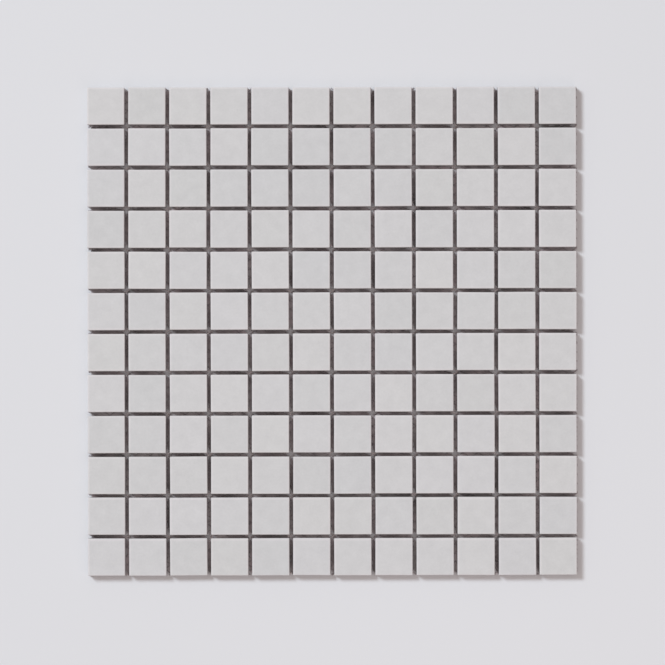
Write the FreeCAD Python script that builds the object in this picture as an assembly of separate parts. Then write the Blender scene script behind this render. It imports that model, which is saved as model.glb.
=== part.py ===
import FreeCAD, Part
import math
import os

# A sheet of small square mosaic tiles, lying face up. The tiles are stuck by their backs to one net,
# with an open joint all round each of them. Lengths are in millimetres and angles in degrees.
# The sheet lies in the XY plane, centred on the origin, with the underside of its net at z = 0.
# Row 1 is the far row, at +Y.

# Tiles
tile_side = 23.0
tile_thickness = 6.0
tile_corner_radius = 0.5
tile_arris_radius = 0.7
joint_width = 2.2
rows = 12
columns = 12

# Net: two families of flat strands that cross in a lattice of rhombic cells
net_thickness = 0.4
strand_width = 1.0
cell_length = 9.175
cell_height = 5.59
cell_slope = 0.43
cell_lean = 3.49
crossing_x = 7.07
crossing_y = 0.03
net_inset = 0.4
net_overhang_right = 0.6

pitch = tile_side + joint_width
sheet_length = columns * pitch - joint_width
sheet_width = rows * pitch - joint_width
net_left = net_inset - sheet_length / 2
net_right = sheet_length / 2 + net_overhang_right
net_front = net_inset - sheet_width / 2
net_back = sheet_width / 2 - net_inset


def save(solids, node):
    Part.makeCompound(solids).exportStep(f"parts/{node}.step")


def square_tile():
    """One tile centred on the origin in plan, standing on the net."""
    half = tile_side / 2
    tile = Part.makeBox(tile_side, tile_side, tile_thickness, FreeCAD.Vector(-half, -half, net_thickness))
    uprights = [edge for edge in tile.Edges if edge.BoundBox.ZLength > tile_thickness / 2]
    tile = tile.makeFillet(tile_corner_radius, uprights)
    face_height = net_thickness + tile_thickness
    rim = [edge for edge in tile.Edges if edge.BoundBox.ZMin > face_height - tile_thickness / 2]
    return tile.makeFillet(tile_arris_radius, rim)


def tile_row(tile, row):
    """The tiles of one row, each a solid of its own with joints between."""
    first_x = (tile_side - sheet_length) / 2
    row_y = (sheet_width - tile_side) / 2 - row * pitch
    return [tile.translated(FreeCAD.Vector(first_x + column * pitch, row_y, 0)) for column in range(columns)]


def lattice_steps():
    """The two steps from one strand crossing to the next, one along each family of strands."""
    slope, lean = math.radians(cell_slope), math.radians(cell_lean)
    along = FreeCAD.Vector(math.cos(slope), math.sin(slope), 0) * (cell_length / 2)
    across = FreeCAD.Vector(-math.sin(lean), math.cos(lean), 0) * (cell_height / 2)
    return along + across, along - across


def polygon_face(corners):
    return Part.Face(Part.makePolygon(corners + corners[:1]))


def is_beside(corners, low, high):
    """True if the corners all lie to one side of the box from low to high."""
    xs, ys = [corner.x for corner in corners], [corner.y for corner in corners]
    return max(xs) <= low.x or min(xs) >= high.x or max(ys) <= low.y or min(ys) >= high.y


def net_holes(low, high):
    """The rhombic holes between the strands that reach into the box from low to high."""
    rising, falling = lattice_steps()
    cell_area = abs(rising.cross(falling).z)
    half_rising = rising * (0.5 - strand_width * falling.Length / cell_area / 2)
    half_falling = falling * (0.5 - strand_width * rising.Length / cell_area / 2)
    reach = math.ceil((sheet_length + sheet_width) / min(cell_length, cell_height))
    origin = FreeCAD.Vector(crossing_x, crossing_y, 0)
    holes = []
    for i in range(-reach, reach + 1):
        for j in range(-reach, reach + 1):
            centre = origin + rising * (i + 0.5) + falling * (j + 0.5)
            hole = [centre + half_rising + half_falling, centre + half_rising - half_falling,
                    centre - half_rising - half_falling, centre - half_rising + half_falling]
            if not is_beside(hole, low, high):
                holes.append(polygon_face(hole))
    return holes


def net_strip(front, back):
    """The net from front to back in y, all its strands fused. Loose scraps at the cut edges are dropped."""
    low, high = FreeCAD.Vector(net_left, front, 0), FreeCAD.Vector(net_right, back, 0)
    sheet = polygon_face([low, FreeCAD.Vector(high.x, low.y, 0), high, FreeCAD.Vector(low.x, high.y, 0)])
    strands = sheet.cut(Part.makeCompound(net_holes(low, high)))
    solids = strands.extrude(FreeCAD.Vector(0, 0, net_thickness)).Solids
    return max(solids, key=lambda solid: solid.Volume)


def net_borders():
    """Where one strip of net meets the next: under the middle of each row of tiles."""
    middles = [(sheet_width - tile_side) / 2 - row * pitch for row in range(rows)]
    return [net_back] + middles + [net_front]


os.makedirs("parts", exist_ok=True)

tile = square_tile()
for row in range(rows):
    save(tile_row(tile, row), f"tile_row_{row + 1:02d}")

borders = net_borders()
for strip in range(len(borders) - 1):
    save([net_strip(borders[strip + 1], borders[strip])], f"net_strip_{strip + 1:02d}")
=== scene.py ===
import bpy
import math
import random
import numpy as np
from mathutils import Euler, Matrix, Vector, noise


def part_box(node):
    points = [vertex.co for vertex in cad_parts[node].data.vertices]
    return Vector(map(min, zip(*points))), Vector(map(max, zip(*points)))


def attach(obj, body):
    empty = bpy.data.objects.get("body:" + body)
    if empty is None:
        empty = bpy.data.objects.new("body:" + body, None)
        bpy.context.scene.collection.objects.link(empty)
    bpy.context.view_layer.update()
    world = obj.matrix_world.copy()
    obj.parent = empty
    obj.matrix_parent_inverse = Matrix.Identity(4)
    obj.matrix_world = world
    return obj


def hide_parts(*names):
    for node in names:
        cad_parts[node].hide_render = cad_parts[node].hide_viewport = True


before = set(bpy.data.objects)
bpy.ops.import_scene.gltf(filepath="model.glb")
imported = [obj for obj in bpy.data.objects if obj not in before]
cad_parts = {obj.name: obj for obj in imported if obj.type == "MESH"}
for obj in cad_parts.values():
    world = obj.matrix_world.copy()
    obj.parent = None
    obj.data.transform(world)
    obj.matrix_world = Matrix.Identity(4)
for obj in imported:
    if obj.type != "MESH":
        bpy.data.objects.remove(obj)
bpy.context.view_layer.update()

# A net-backed sheet of small square porcelain tiles, lying face up and seen from straight above.
# Row 1 is the far row. All lengths are in metres; mm turns the written ones into metres.

mm = 0.001
rowNodes = sorted(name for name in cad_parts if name.startswith("tile_row"))
netNodes = sorted(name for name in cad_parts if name.startswith("net_strip"))


# Places and sizes that the CAD already holds
def readSheet():
    firstLow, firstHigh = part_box(rowNodes[0])
    nextLow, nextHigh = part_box(rowNodes[1])
    netBoxes = [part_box(name) for name in netNodes]
    side = firstHigh[1] - firstLow[1]
    pitch = firstHigh[1] - nextHigh[1]
    return {
        "side": side,
        "pitch": pitch,
        "columns": round((firstHigh[0] - firstLow[0] + pitch - side) / pitch),
        "back": firstLow[2],
        "face": firstHigh[2],
        "left": firstLow[0],
        "netLeft": min(low[0] for low, high in netBoxes),
        "netRight": max(high[0] for low, high in netBoxes),
    }


sheet = readSheet()
print("sheet read:", len(rowNodes), "rows of", sheet["columns"])


# Shader helpers

class Shade:
    # One output of a node. Python operators on it add Math nodes behind it.
    def __init__(self, bench, node, output=0):
        self.bench, self.node, self.output = bench, node, output

    def link(self):
        return self.node.outputs[self.output]

    def out(self, name):
        return Shade(self.bench, self.node, name)

    def math(self, operation, *values):
        return self.bench.add("Math", {"operation": operation}, dict(enumerate(values)))

    def __add__(self, other):
        return self.math("ADD", self, other)

    def __sub__(self, other):
        return self.math("SUBTRACT", self, other)

    def __mul__(self, other):
        return self.math("MULTIPLY", self, other)

    def __truediv__(self, other):
        return self.math("DIVIDE", self, other)

    def __pow__(self, other):
        return self.math("POWER", self, other)

    def __rsub__(self, other):
        return self.math("SUBTRACT", other, self)

    def __gt__(self, other):
        return self.math("GREATER_THAN", self, other)

    def __lt__(self, other):
        return self.math("LESS_THAN", self, other)

    __radd__ = __add__
    __rmul__ = __mul__


class Bench:
    # The node tree of one material or world
    def __init__(self, owner):
        owner.use_nodes = True
        self.tree = owner.node_tree
        self.tree.nodes.clear()

    def add(self, kind, settings={}, sockets={}):
        node = self.tree.nodes.new("ShaderNode" + kind)
        for name, value in settings.items():
            if name == "stops":
                self.setStops(node.color_ramp.elements, value)
            else:
                setattr(node, name, value)
        for name, value in sockets.items():
            if isinstance(value, Shade):
                self.tree.links.new(value.link(), node.inputs[name])
            else:
                node.inputs[name].default_value = value
        return Shade(self, node)

    def setStops(self, elements, stops):
        while len(elements) < len(stops):
            elements.new(1)
        for element, (place, level) in zip(elements, stops):
            element.position = place
            element.color = (level, level, level, 1)

    def vector(self, operation, *values, **named):
        return self.add("VectorMath", {"operation": operation}, {**dict(enumerate(values)), **named})

    def mixColour(self, factor, first, second):
        sockets = {0: factor, 6: first, 7: second}
        mixed = self.add("Mix", {"data_type": "RGBA"}, sockets)
        return Shade(self, mixed.node, 2)

    def step(self, value, middle, half):
        # Rises smoothly from 0 to 1 round the middle
        ends = {"Value": value, "From Min": middle - half, "From Max": middle + half}
        return self.add("MapRange", {"interpolation_type": "SMOOTHSTEP"}, ends)

    def ramp(self, value, stops):
        return self.add("ValToRGB", {"stops": stops}, {"Fac": value})

    def finish(self, shader, kind="Material"):
        self.add("Output" + kind, {}, {"Surface": shader})


def tileCell(bench, place):
    # The number of the tile at a place in mm, and how far from the tile's middle the place is, in x and in y
    corner = (sheet["left"] - (sheet["pitch"] - sheet["side"]) / 2) / mm
    pitch = sheet["pitch"] / mm
    spot = bench.vector("SCALE", bench.vector("SUBTRACT", place, (corner, corner, 0)), Scale=1 / pitch)
    spot = bench.vector("MULTIPLY", spot, (1, 1, 0))
    middle = bench.vector("SUBTRACT", bench.vector("FRACTION", spot), (0.5, 0.5, 0))
    aside = bench.vector("SCALE", bench.vector("ABSOLUTE", middle), Scale=pitch)
    return bench.vector("FLOOR", spot), bench.add("SeparateXYZ", {}, {"Vector": aside})


def outerSide(bench, place):
    # 1 on the sides round the whole sheet, which have no joint in front of them
    aside = bench.add("SeparateXYZ", {}, {"Vector": bench.vector("ABSOLUTE", place)})
    return aside.math("MAXIMUM", aside.out("X"), aside.out("Y")) > (-sheet["left"] / mm - 1.0)


def glueSpread(bench, place):
    # How far out from the tile's middle a place in mm is, measured along the glue film's rounded square
    shift = (glueShape["shift"][0] / mm, glueShape["shift"][1] / mm, 0)
    aside = tileCell(bench, bench.vector("SUBTRACT", place, shift))[1]
    power = glueShape["squareness"]
    return (aside.out("X") ** power + aside.out("Y") ** power) ** (1 / power)


def newMaterial(name):
    material = bpy.data.materials.new(name)
    return material, Bench(material)


# Mesh helpers

def newPiece(name, points, faces, material, slotName, *replaced):
    mesh = bpy.data.meshes.new(name)
    mesh.from_pydata(points, [], faces)
    mesh.polygons.foreach_set("use_smooth", [True] * len(mesh.polygons))
    mesh.materials.append(material)
    mesh.update()
    piece = bpy.data.objects.new(name, mesh)
    bpy.context.collection.objects.link(piece)
    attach(piece, "root")
    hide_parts(*replaced)
    return piece


def bridgeRings(start, ringCount, perRing):
    # Quads between rings of points that lie one after another from start
    faces = []
    for ring in range(ringCount - 1):
        low = start + ring * perRing
        for k in range(perRing):
            after = (k + 1) % perRing
            faces.append((low + k, low + perRing + k, low + perRing + after, low + after))
    return faces


# Tiles: pressed porcelain, matt and unglazed, with soft arrises and very slightly uneven outlines

tileShape = {
    "slack": 0.065 * mm,
    "cornerRadius": 0.4 * mm,
    "arris": 0.55 * mm,
    "backArris": 0.3 * mm,
    "perSide": 8,
    "perCorner": 4,
    "arrisSteps": 6,
    "backArrisSteps": 2,
    "faceRings": (0.25, 0.5, 0.75, 0.92),
    "sideLevels": (0.33, 0.66),
    "shift": 0.07 * mm,
    "turn": math.radians(0.14),
    "tilt": math.radians(0.14),
    "wobble": 0.035 * mm,
    "wobbleScale": 0.25 / mm,
    "crown": 0.03 * mm,
    "crowding": 0.55 * mm,
    "crowdingShare": 0.27,
}


def squareRing(half, radius, perSide, perCorner):
    # Points anticlockwise round a square with rounded corners
    core = half - radius
    points = []
    for quarter in range(4):
        turn = quarter * math.pi / 2
        across = Vector((math.cos(turn), math.sin(turn)))
        along = Vector((-math.sin(turn), math.cos(turn)))
        for step in range(perSide + 1):
            points.append(across * half + along * core * (2 * step / perSide - 1))
        centre = (across + along) * core
        for step in range(1, perCorner):
            angle = turn + math.pi / 2 * step / perCorner
            points.append(centre + Vector((math.cos(angle), math.sin(angle))) * radius)
    return points


def tileProfile(shape):
    # (inset from the side, height, scale towards the middle) of each ring, from the face's middle to the back's
    face, back = sheet["face"], sheet["back"]
    arris, backArris = shape["arris"], shape["backArris"]
    profile = [(arris, face, scale) for scale in shape["faceRings"]]
    for step in range(shape["arrisSteps"] + 1):
        angle = math.pi / 2 * step / shape["arrisSteps"]
        profile.append((arris * (1 - math.sin(angle)), face - arris * (1 - math.cos(angle)), 1))
    top, bottom = face - arris, back + backArris
    profile += [(0, top + (bottom - top) * level, 1) for level in shape["sideLevels"]]
    for step in range(shape["backArrisSteps"] + 1):
        angle = math.pi / 2 * step / shape["backArrisSteps"]
        profile.append((backArris * (1 - math.cos(angle)), back + backArris * (1 - math.sin(angle)), 1))
    profile += [(backArris, back, scale) for scale in reversed(shape["faceRings"])]
    return profile


def tileTemplate(shape):
    # Points and faces of one even tile, centred on the origin in plan
    half = sheet["side"] / 2 - shape["slack"]
    points = [Vector((0, 0, sheet["face"]))]
    profile = tileProfile(shape)
    for inset, height, scale in profile:
        radius = max(shape["cornerRadius"] - inset, 0.15 * shape["cornerRadius"])
        ring = squareRing(half - inset, radius, shape["perSide"], shape["perCorner"])
        points += [Vector((point.x * scale, point.y * scale, height)) for point in ring]
    perRing = len(ring)
    faces = bridgeRings(1, len(profile), perRing)
    last = len(points) - perRing
    points.append(Vector((0, 0, sheet["back"])))
    for k in range(perRing):
        after = (k + 1) % perRing
        faces.append((0, 1 + k, 1 + after))
        faces.append((len(points) - 1, last + after, last + k))
    return points, faces


def unevenTile(points, shape, dice):
    # One tile's own outline: a slow wobble of its sides, a faint crown, and a small shift, turn and tilt
    half = sheet["side"] / 2
    depth = sheet["face"] - sheet["back"]
    seat = Vector((0, 0, sheet["back"]))
    offset = Vector([dice.uniform(-50, 50) for axis in range(3)])
    tilt = [dice.uniform(-1, 1) * shape["tilt"] for axis in range(2)]
    turn = Euler((tilt[0], tilt[1], dice.gauss(0, 1) * shape["turn"])).to_matrix()
    shift = Vector((dice.gauss(0, 1) * shape["shift"], dice.gauss(0, 1) * shape["shift"], 0))
    lift = half * (abs(tilt[0]) + abs(tilt[1]))
    moved = []
    for point in points:
        wobble = noise.noise_vector(point * shape["wobbleScale"] + offset) * shape["wobble"]
        wobble.z *= 0.3 * (point.z - sheet["back"]) / depth
        crown = -shape["crown"] * max(abs(point.x), abs(point.y)) ** 2 / half ** 2
        height = (point.z - sheet["back"]) / depth
        local = point - seat + wobble + Vector((0, 0, crown * height))
        leaning = turn @ local
        leaning.z = local.z + (leaning.z - local.z) * height
        moved.append(leaning + seat + shift)
    return moved


def rowMiddle(name):
    # The rows nearest to the viewer lie a little closer together than the others
    low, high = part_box(name)
    along = rowNodes.index(name) / (len(rowNodes) - 1)
    return (low[1] + high[1]) / 2 + tileShape["crowding"] * (along ** 3 - tileShape["crowdingShare"])


def makeTiles(material):
    dice = random.Random(12)
    template, templateFaces = tileTemplate(tileShape)
    for name in rowNodes:
        points, faces = [], []
        for column in range(sheet["columns"]):
            place = Vector((sheet["left"] + sheet["side"] / 2 + column * sheet["pitch"], rowMiddle(name), 0))
            first = len(points)
            points += [point + place for point in unevenTile(template, tileShape, dice)]
            faces += [tuple(first + k for k in face) for face in templateFaces]
        newPiece("mosaic" + name[-2:], points, faces, material, "tile", name)
    print("tiles made")


tileFinish = {
    "colour": (0.617, 0.604, 0.612),
    # The rim's tint and width paint a paler, warmer highlight band along each tile's edge
    "rimHighlightTint": (1.066, 1.048, 1.052),
    "rimHighlightWidth": 1.2,
    "body": (0.61, 0.582, 0.588),
    "glazeDrop": 1.1,
    # The stain colour and its drop darken the lower parts of the sides that face the joints: partly glue stain,
    # partly painted shade
    "stainAndShade": (0.42, 0.385, 0.395),
    "stainAndShadeDrop": 1.6,
    "roughness": 0.62,
    "tileSpread": 0.038,
    "tileTint": (0.008, 0.003, 0.015),
    "mottle": 0.12,
    "clouds": 0.09,
    "grain": 0.13,
    "fleckDepth": 0.35,
    "bump": 0.022 * mm,
}


def tileMaterial():
    look = tileFinish
    material, bench = newMaterial("unglazedPorcelain")
    place = bench.vector("SCALE", bench.add("TexCoord").out("Object"), Scale=1 / mm)
    # Every tile has its own number, so that no pattern runs on from one to the next
    cell, aside = tileCell(bench, place)
    chance = bench.add("TexWhiteNoise", {"noise_dimensions": "3D"}, {"Vector": cell})
    own = bench.vector("SCALE", chance.out("Color"), Scale=90.0)
    spot = bench.vector("ADD", place, own)
    mottle = bench.add("TexNoise", {}, {"Vector": spot, "Scale": 0.16, "Detail": 2.0})
    grain = bench.add("TexNoise", {}, {"Vector": spot, "Scale": 2.6, "Detail": 2.0, "Roughness": 0.6})
    fine = bench.add("TexNoise", {}, {"Vector": spot, "Scale": 7.0, "Detail": 1.0})
    flecks = bench.add("TexVoronoi", {}, {"Vector": spot, "Scale": 0.55})
    fleck = (flecks.out("Distance") < 0.045) * (flecks.out("Color") > 0.72)
    clouds = bench.add("TexNoise", {}, {"Vector": spot, "Scale": 0.7, "Detail": 2.0})
    tone = 1 + (chance.out("Value") - 0.5) * look["tileSpread"] + (mottle - 0.5) * look["mottle"]
    tone = tone + (clouds - 0.5) * look["clouds"] + (grain - 0.5) * look["grain"]
    tone = tone * (1 - fleck * look["fleckDepth"])
    # Painted highlight: the face's colour is a little paler and warmer in a band along the rim
    outward = aside.math("MAXIMUM", aside.out("X"), aside.out("Y"))
    rim = bench.step(outward, sheet["side"] / 2 / mm - look["rimHighlightWidth"], 0.35)
    # The face's glaze runs over the arris and ends unevenly a little way down the sides. Lower down, the sides that
    # face the joints are darker: partly glue stain, partly painted shade in the joints.
    depth = sheet["face"] / mm - bench.add("SeparateXYZ", {}, {"Vector": place}).out("Z")
    bare = bench.step(depth + (mottle - 0.5) * 1.2, look["glazeDrop"], 0.2)
    stainedAndShaded = bench.step(depth + (mottle - 0.5) * 2, look["stainAndShadeDrop"], 0.6) * (1 - outerSide(bench, place))
    rimHighlightColour = [level * tint for level, tint in zip(look["colour"], look["rimHighlightTint"])]
    colour = bench.mixColour(rim, (*look["colour"], 1), (*rimHighlightColour, 1))
    colour = bench.mixColour(bare, colour, (*look["body"], 1))
    colour = bench.mixColour(stainedAndShaded, colour, (*look["stainAndShade"], 1))
    tint = bench.vector("SUBTRACT", chance.out("Color"), (0.5, 0.5, 0.5))
    tint = bench.vector("ADD", bench.vector("MULTIPLY", tint, look["tileTint"]), (1, 1, 1))
    colour = bench.vector("SCALE", bench.vector("MULTIPLY", colour, tint), Scale=tone)
    peel = bench.add("TexNoise", {}, {"Vector": spot, "Scale": 0.9, "Detail": 1.0})
    height = grain * 0.7 + fine * 0.5 + peel * 1.5 - fleck * 1.5
    bump = bench.add("Bump", {}, {"Height": height, "Strength": 0.5, "Distance": look["bump"]})
    shader = bench.add("BsdfPrincipled", {}, {
        "Base Color": colour,
        "Roughness": look["roughness"] + (grain - 0.5) * 0.2,
        "Specular IOR Level": 0.25,
        "Normal": bump,
    })
    bench.finish(shader)
    return material


# Glue: a thin film on every tile's back that was pressed out into the joints, but not as far as their crossings

glueShape = {
    "reach": 1.12 * mm,
    "squareness": 6.4,
    "low": 0.14 * mm,
    "high": 0.28 * mm,
    "rim": 0.5 * mm,
    "around": 64,
    "ragged": 0.05,
    "raggedScale": 0.35 / mm,
    "trim": 2.0 * mm,
    "shift": (-0.6 * mm, 0.6 * mm),
}


# Net: flat rovings one way, and pairs of thinner yarns the other way that pass over and under them

netShape = {
    "cellLength": 9.175 * mm,
    "cellHeight": 5.59 * mm,
    "slope": math.radians(0.43),
    "lean": math.radians(3.49),
    "crossing": (7.07 * mm, 0.03 * mm),
    "reach": 60,
    "waver": 0.09 * mm,
    "waverScale": 0.06 / mm,
    "swell": 0.14,
    "roving": {"width": 1.0 * mm, "height": 0.2 * mm, "round": 6, "stations": (0, 0.3, 0.7), "apart": 0, "rise": 0},
    "yarn": {"width": 0.52 * mm, "height": 0.2 * mm, "round": 5, "stations": (0, 0.22, 0.42, 0.58, 0.78),
             "apart": 0.25 * mm, "rise": 0.09 * mm},
}


def latticeSteps(shape):
    slope, lean = shape["slope"], shape["lean"]
    along = Vector((math.cos(slope), math.sin(slope), 0)) * shape["cellLength"] / 2
    across = Vector((-math.sin(lean), math.cos(lean), 0)) * shape["cellHeight"] / 2
    return along + across, along - across


def stretchInside(start, step, low, high):
    # How far along the line start + t * step the box from low to high reaches, or nothing
    first, last = -1e9, 1e9
    for axis in range(2):
        ends = sorted(((low[axis] - start[axis]) / step[axis], (high[axis] - start[axis]) / step[axis]))
        first, last = max(first, ends[0]), min(last, ends[1])
    return (first, last) if last - first > 0.05 else None


def strandTube(start, step, first, last, strand, side):
    # Rings along one strand from first to last, counted in crossings, closed at both ends.
    # side is 0 for a roving, and -1 or 1 for the yarns of a pair, which swap over at each crossing.
    places = [first, last]
    for whole in range(math.floor(first), math.ceil(last) + 1):
        places += [whole + part for part in strand["stations"] if first < whole + part < last]
    sideways = Vector((-step.y, step.x, 0)).normalized()
    points = []
    for place in sorted(places):
        middle = start + step * place
        swell = 1 + noise.noise(middle * 0.3 / mm + Vector((0, 0, 9 * side))) * netShape["swell"]
        middle += sideways * noise.noise(middle * netShape["waverScale"]) * netShape["waver"]
        middle += sideways * side * strand["apart"] * math.cos(math.pi * place)
        lift = sheet["back"] / 2 + side * strand["rise"] * math.cos(2 * math.pi * place)
        for k in range(strand["round"]):
            angle = -2 * math.pi * (k + 0.5) / strand["round"]
            point = middle + sideways * strand["width"] / 2 * swell * math.cos(angle)
            point.z = lift + strand["height"] / 2 * math.sin(angle)
            points.append(point)
    faces = bridgeRings(0, len(places), strand["round"])
    faces.append(tuple(range(strand["round"])))
    faces.append(tuple(reversed(range(len(points) - strand["round"], len(points)))))
    return points, faces


def makeNet(material):
    shape = netShape
    origin = Vector((*shape["crossing"], 0))
    rising, falling = latticeSteps(shape)
    families = ((rising, falling, "roving", (0,)), (falling, rising, "yarn", (-1, 1)))
    for name in netNodes:
        low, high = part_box(name)
        points, faces = [], []
        for step, across, kind, sides in families:
            for line in range(-shape["reach"], shape["reach"] + 1):
                start = origin + across * line
                inside = stretchInside(start, step, low, high)
                if not inside:
                    continue
                for side in sides:
                    first = len(points)
                    tubePoints, tubeFaces = strandTube(start, step, *inside, shape[kind], side)
                    points += tubePoints
                    faces += [tuple(first + k for k in face) for face in tubeFaces]
        newPiece("net" + name[-2:], points, faces, material, "net", name)
    print("net made")


netFinish = {
    "colour": (0.41, 0.365, 0.385),
    "dry": (0.77, 0.70, 0.71),
    "roughness": 0.55,
}


def netMaterial():
    look = netFinish
    material, bench = newMaterial("netStrand")
    place = bench.vector("SCALE", bench.add("TexCoord").out("Object"), Scale=1 / mm)
    patches = bench.add("TexNoise", {}, {"Vector": place, "Scale": 0.5, "Detail": 2.0})
    fibres = bench.add("TexNoise", {}, {"Vector": place, "Scale": 8.0, "Detail": 2.0})
    # The strands are pale where no glue has soaked them. Their cut ends beside the sheet are darker again.
    edge = (sheet["side"] / 2 + glueShape["reach"]) / mm
    dry = bench.step(glueSpread(bench, place) + (patches - 0.5) * 0.8, edge + 0.1, 0.35)
    dry = dry * (1 - outerSide(bench, place))
    colour = bench.mixColour(dry, (*look["colour"], 1), (*look["dry"], 1))
    colour = bench.vector("SCALE", colour, Scale=0.75 + patches * 0.3 + fibres * 0.2)
    bump = bench.add("Bump", {}, {"Height": fibres, "Strength": 0.6, "Distance": 0.05 * mm})
    shader = bench.add("BsdfPrincipled", {}, {
        "Base Color": colour,
        "Roughness": look["roughness"] + (patches - 0.5) * 0.3,
        "Normal": bump,
    })
    bench.finish(shader)
    return material


def glueOutline(centre, shape, trimBox):
    # The film's edge round one tile, trimmed where the sheet ends
    points = []
    reach = sheet["side"] / 2 + shape["reach"]
    power = shape["squareness"]
    for k in range(shape["around"]):
        angle = 2 * math.pi * k / shape["around"]
        across, along = math.cos(angle), math.sin(angle)
        length = reach / (abs(across) ** power + abs(along) ** power) ** (1 / power)
        point = centre + Vector((across, along, 0)) * length
        slack = noise.noise(point * shape["raggedScale"] + centre * 3)
        point = centre + (point - centre) * (1 + slack * shape["ragged"] * length / reach)
        point.x = min(max(point.x, trimBox[0]), trimBox[1])
        point.y = min(max(point.y, trimBox[2]), trimBox[3])
        if not points or (point - points[-1]).length > 0.001 * mm:
            points.append(point)
    return points


def makeGlue(material):
    shape = glueShape
    rowBoxes = [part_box(name) for name in rowNodes]
    ends = (sheet["left"], max(high[0] for low, high in rowBoxes))
    sides = (min(low[1] for low, high in rowBoxes), max(high[1] for low, high in rowBoxes))
    trimBox = (ends[0] + shape["trim"], ends[1] - shape["trim"], sides[0] + shape["trim"], sides[1] - shape["trim"])
    points, faces = [], []
    for name in rowNodes:
        for column in range(sheet["columns"]):
            middle = sheet["left"] + sheet["side"] / 2 + column * sheet["pitch"]
            centre = Vector((middle + shape["shift"][0], rowMiddle(name) + shape["shift"][1], 0))
            outline = glueOutline(centre, shape, trimBox)
            first = len(points)
            level = (shape["low"] + shape["high"]) / 2
            for height, inset in ((shape["high"], shape["rim"]), (shape["high"] * 0.8, shape["rim"] * 0.2),
                                  (level, 0), (shape["low"], shape["rim"] * 0.6)):
                for point in outline:
                    inward = (centre - point).normalized() * inset
                    points.append(Vector((point.x + inward.x, point.y + inward.y, height)))
            around = len(outline)
            faces += bridgeRings(first, 4, around)
            last = len(points) - around
            points += [centre + Vector((0, 0, shape["high"])), centre + Vector((0, 0, shape["low"]))]
            for k in range(around):
                after = (k + 1) % around
                faces.append((len(points) - 2, first + k, first + after))
                faces.append((len(points) - 1, last + after, last + k))
    newPiece("glueFilm", points, faces, material, "net")
    print("glue made")


glueFinish = {
    "colour": (0.449, 0.422, 0.431),
    "reddish": (0.468, 0.401, 0.419),
    "thin": (0.56, 0.545, 0.54),
    "strandDepth": 0.04,
    "patches": 2.6,
    "clouds": 0.3,
    "roughness": 0.5,
}


def glueMaterial():
    look = glueFinish
    material, bench = newMaterial("driedGlue")
    place = bench.vector("SCALE", bench.add("TexCoord").out("Object"), Scale=1 / mm)
    clouds = bench.add("TexNoise", {}, {"Vector": place, "Scale": 0.35, "Detail": 3.0})
    ripples = bench.add("TexNoise", {}, {"Vector": place, "Scale": 2.2, "Detail": 2.0})
    # The film is a touch darker where it is thicker, along the net's strands, and shows the tiles where it is thin
    origin = Vector((*netShape["crossing"], 0))
    rising, falling = latticeSteps(netShape)
    area = rising.x * falling.y - rising.y * falling.x
    patches = bench.add("TexNoise", {}, {"Vector": place, "Scale": 0.045, "Detail": 1.0})
    tone = 1 + (clouds - 0.5) * look["clouds"] + (patches - 0.5) * look["patches"]
    for step in (rising, falling):
        across = Vector((-step.y, step.x, 0)) / area * mm
        along = bench.add("VectorMath", {"operation": "DOT_PRODUCT"}, {0: place, 1: tuple(across)}).out("Value")
        turns = (along - origin.dot(across) / mm) * (2 * math.pi)
        tone = tone - turns.math("COSINE", turns) * look["strandDepth"]
    tint = bench.add("TexNoise", {}, {"Vector": bench.vector("ADD", place, (40, 9, 3)), "Scale": 0.05})
    colour = bench.mixColour(bench.step(tint, 0.5, 0.2), (*look["colour"], 1), (*look["reddish"], 1))
    colour = bench.vector("SCALE", colour, Scale=tone)
    overBack = bench.step(glueSpread(bench, place) + (clouds - 0.5) * 2.5, sheet["side"] / 2 / mm - 1.3, 0.7)
    smeared = bench.vector("SCALE", (*look["thin"],), Scale=0.8 + clouds * 0.25 + ripples * 0.15)
    colour = bench.mixColour(overBack, smeared, colour)
    bump = bench.add("Bump", {}, {"Height": ripples, "Strength": 0.5, "Distance": 0.08 * mm})
    shader = bench.add("BsdfPrincipled", {}, {
        "Base Color": colour,
        "Roughness": look["roughness"] + (ripples - 0.5) * 0.4,
        "Normal": bump,
    })
    bench.finish(shader)
    return material


# Floor, light and camera

floorLook = {
    "size": 6.0,
    "colour": (0.735, 0.729, 0.757),
}


def makeFloor():
    half = floorLook["size"] / 2
    mesh = bpy.data.meshes.new("floor")
    mesh.from_pydata([(-half, -half, 0), (half, -half, 0), (half, half, 0), (-half, half, 0)], [], [(0, 1, 2, 3)])
    material, bench = newMaterial("paleFloor")
    bench.finish(bench.add("BsdfDiffuse", {}, {"Color": (*floorLook["colour"], 1)}))
    mesh.materials.append(material)
    floor = bpy.data.objects.new("floor", mesh)
    bpy.context.collection.objects.link(floor)


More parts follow.
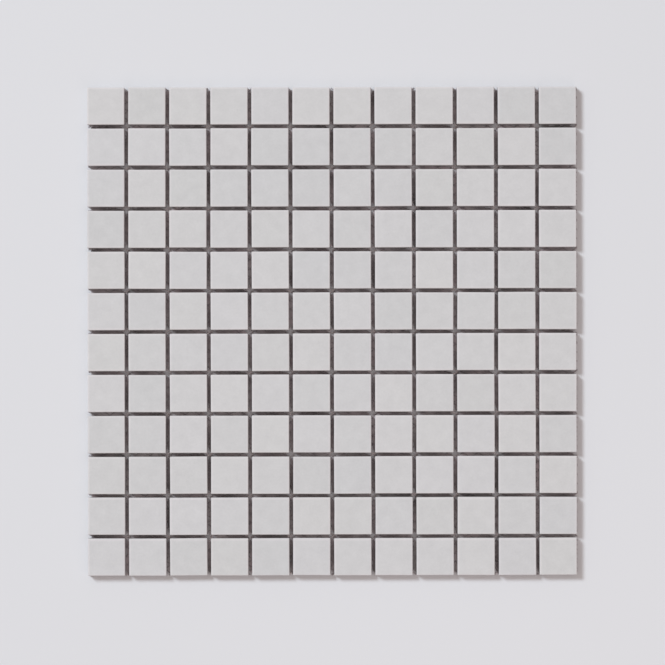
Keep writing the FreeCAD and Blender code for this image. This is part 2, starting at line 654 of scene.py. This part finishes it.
# Each lamp's share is how much of the light on a surface that lies flat comes from it; the fill gives the rest
lamps = {
    "key": {"towards": -38.5, "elevation": 47.1, "distance": 8.0, "spread": 17.0, "share": (0.455, 0.505, 0.53)},
    "side": {"towards": 125.0, "elevation": 45.0, "distance": 0.9, "spread": 40.0, "share": (0.055, 0.05, 0.05)},
}
fillShare = (0.49, 0.445, 0.42)


def makeLamp(name, settings):
    azimuth, elevation = math.radians(settings["towards"]), math.radians(settings["elevation"])
    level = math.cos(elevation)
    travel = Vector((math.cos(azimuth) * level, math.sin(azimuth) * level, -math.sin(elevation)))
    lamp = bpy.data.lights.new(name, "AREA")
    lamp.shape = "DISK"
    lamp.size = 2 * settings["distance"] * math.tan(math.radians(settings["spread"] / 2))
    lamp.energy = math.pi ** 2 * settings["distance"] ** 2 / math.sin(elevation)
    lamp.color = settings["share"]
    holder = bpy.data.objects.new(name, lamp)
    holder.location = -travel * settings["distance"]
    holder.rotation_euler = travel.to_track_quat("-Z", "Y").to_euler()
    bpy.context.collection.objects.link(holder)


def makeFill():
    world = bpy.data.worlds.new("fill")
    bpy.context.scene.world = world
    bench = Bench(world)
    seen = bench.add("LightPath").out("Is Camera Ray")
    colour = bench.mixColour(seen, (*fillShare, 1), (*floorLook["colour"], 1))
    bench.finish(bench.add("Background", {}, {"Color": colour}), "World")


cameraSetup = {
    "distance": 2.0,
    "frameWidth": 407.8 * mm,
    "lookAt": (0.28 * mm, -0.64 * mm),
    "roll": math.radians(-0.12),
}


def makeCamera():
    lens = bpy.data.cameras.new("camera")
    lens.sensor_width = 36
    lens.lens = lens.sensor_width * cameraSetup["distance"] / cameraSetup["frameWidth"]
    lens.clip_end = 20
    camera = bpy.data.objects.new("camera", lens)
    camera.location = (*cameraSetup["lookAt"], sheet["face"] + cameraSetup["distance"])
    camera.rotation_euler = (0, 0, cameraSetup["roll"])
    bpy.context.collection.objects.link(camera)
    bpy.context.scene.camera = camera


makeTiles(tileMaterial())
makeNet(netMaterial())
makeGlue(glueMaterial())
makeFloor()
for lampName, lampSettings in lamps.items():
    makeLamp(lampName, lampSettings)
makeFill()
makeCamera()
bpy.context.scene.view_settings.view_transform = "Standard"
print("scene lit and framed")
